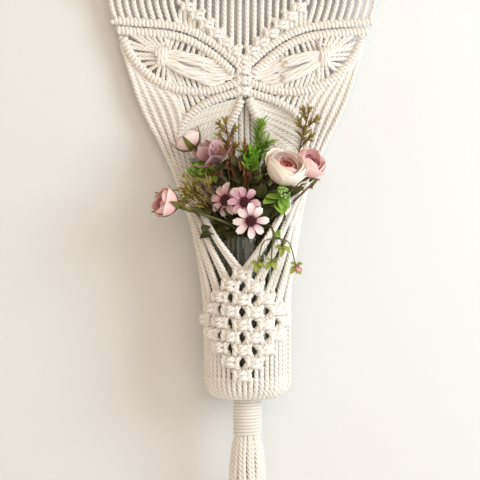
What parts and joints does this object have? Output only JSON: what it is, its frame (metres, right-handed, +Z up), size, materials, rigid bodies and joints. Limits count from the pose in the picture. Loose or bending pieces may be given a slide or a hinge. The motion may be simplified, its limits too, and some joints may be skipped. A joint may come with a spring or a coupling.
{
  "type": "wall hanging planter",
  "caption": "Knotted cotton wall hanging on a dowel, with leaf-shaped wings, a netted pocket that holds a glass jar of flowers, and a gathered tassel below.",
  "frame": {"origin": "middle of the dowel's axis, the rod that the hanging is carried by", "axes": "+Z up, +X along the dowel to the right as seen from the front, +Y towards the wall"},
  "size_m": [0.29, 0.1211, 0.5269],
  "materials": {
    "cotton_cord": "twisted natural cotton",
    "dowel_wood": "sanded pale dowel",
    "clear_glass": "clear smooth glass",
    "stem_green": "matte stem",
    "petal_peach": "soft petal cloth",
    "petal_pink": "soft petal cloth",
    "petal_mauve": "soft petal cloth",
    "petal_white": "soft petal cloth",
    "daisy_eye": "flocked",
    "leaf_bright": "matte leaf",
    "leaf_bronze": "matte leaf"
  },
  "bodies": {
    "rod": {"hanging_rod": "dowel_wood"},
    "hanging": {"top_cords_left": "cotton_cord", "top_cords_middle": "cotton_cord", "top_cords_right": "cotton_cord", "knot_chevron": "cotton_cord", "centre_knots": "cotton_cord", "upper_bar_left": "cotton_cord", "upper_bar_right": "cotton_cord", "second_bar_left": "cotton_cord", "second_bar_right": "cotton_cord", "lower_bar_left": "cotton_cord", "lower_bar_right": "cotton_cord", "wing_cords_left": "cotton_cord", "wing_cords_right": "cotton_cord", "bunch_tie_left": "cotton_cord", "bunch_tie_right": "cotton_cord", "leaf_bar_left": "cotton_cord", "leaf_bar_right": "cotton_cord", "pocket_net": "cotton_cord", "pocket_floor": "cotton_cord", "back_cords_left": "cotton_cord", "back_cords_right": "cotton_cord", "side_cords_left": "cotton_cord", "side_cords_right": "cotton_cord"},
    "tassel": {"tassel": "cotton_cord", "gather_wrap": "cotton_cord"},
    "jar": {"glass_jar": "clear_glass"},
    "bouquet": {"bouquet_stems": "stem_green", "rose_open": "petal_peach", "rose_open_calyx": "stem_green", "rose_right": "petal_pink", "rose_right_calyx": "stem_green", "rose_left": "petal_pink", "rose_left_calyx": "stem_green", "rose_upper": "petal_peach", "rose_upper_calyx": "stem_green", "daisy_left": "petal_white", "daisy_left_eye": "daisy_eye", "daisy_mid": "petal_white", "daisy_mid_eye": "daisy_eye", "daisy_low": "petal_white", "daisy_low_eye": "daisy_eye", "sprig_bright": "leaf_bright", "twig_middle": "leaf_bronze", "twig_right": "leaf_bronze", "bloom_mauve": "petal_mauve", "leaves_olive": "leaf_bronze", "florets_green": "leaf_bright", "sprig_low": "leaf_bright"}
  },
  "joints": [
    {"name": "hanging_swing", "type": "hinge", "parent": "rod", "child": "hanging", "pos_m": [0, 0, 0], "axis": [-1, 0, 0], "range_deg": [0, 30]},
    {"name": "tassel_sway", "type": "hinge", "parent": "hanging", "child": "tassel", "pos_m": [0, -0.0398, -0.3763], "axis": [0, 1, 0], "range_deg": [-20, 20]},
    {"name": "jar_lift", "type": "slide", "parent": "hanging", "child": "jar", "axis": [0, 0, 1], "range_m": [0, 0.12]},
    {"name": "bouquet_lift", "type": "slide", "parent": "jar", "child": "bouquet", "axis": [0, 0, 1], "range_m": [0, 0.135]}
  ]
}
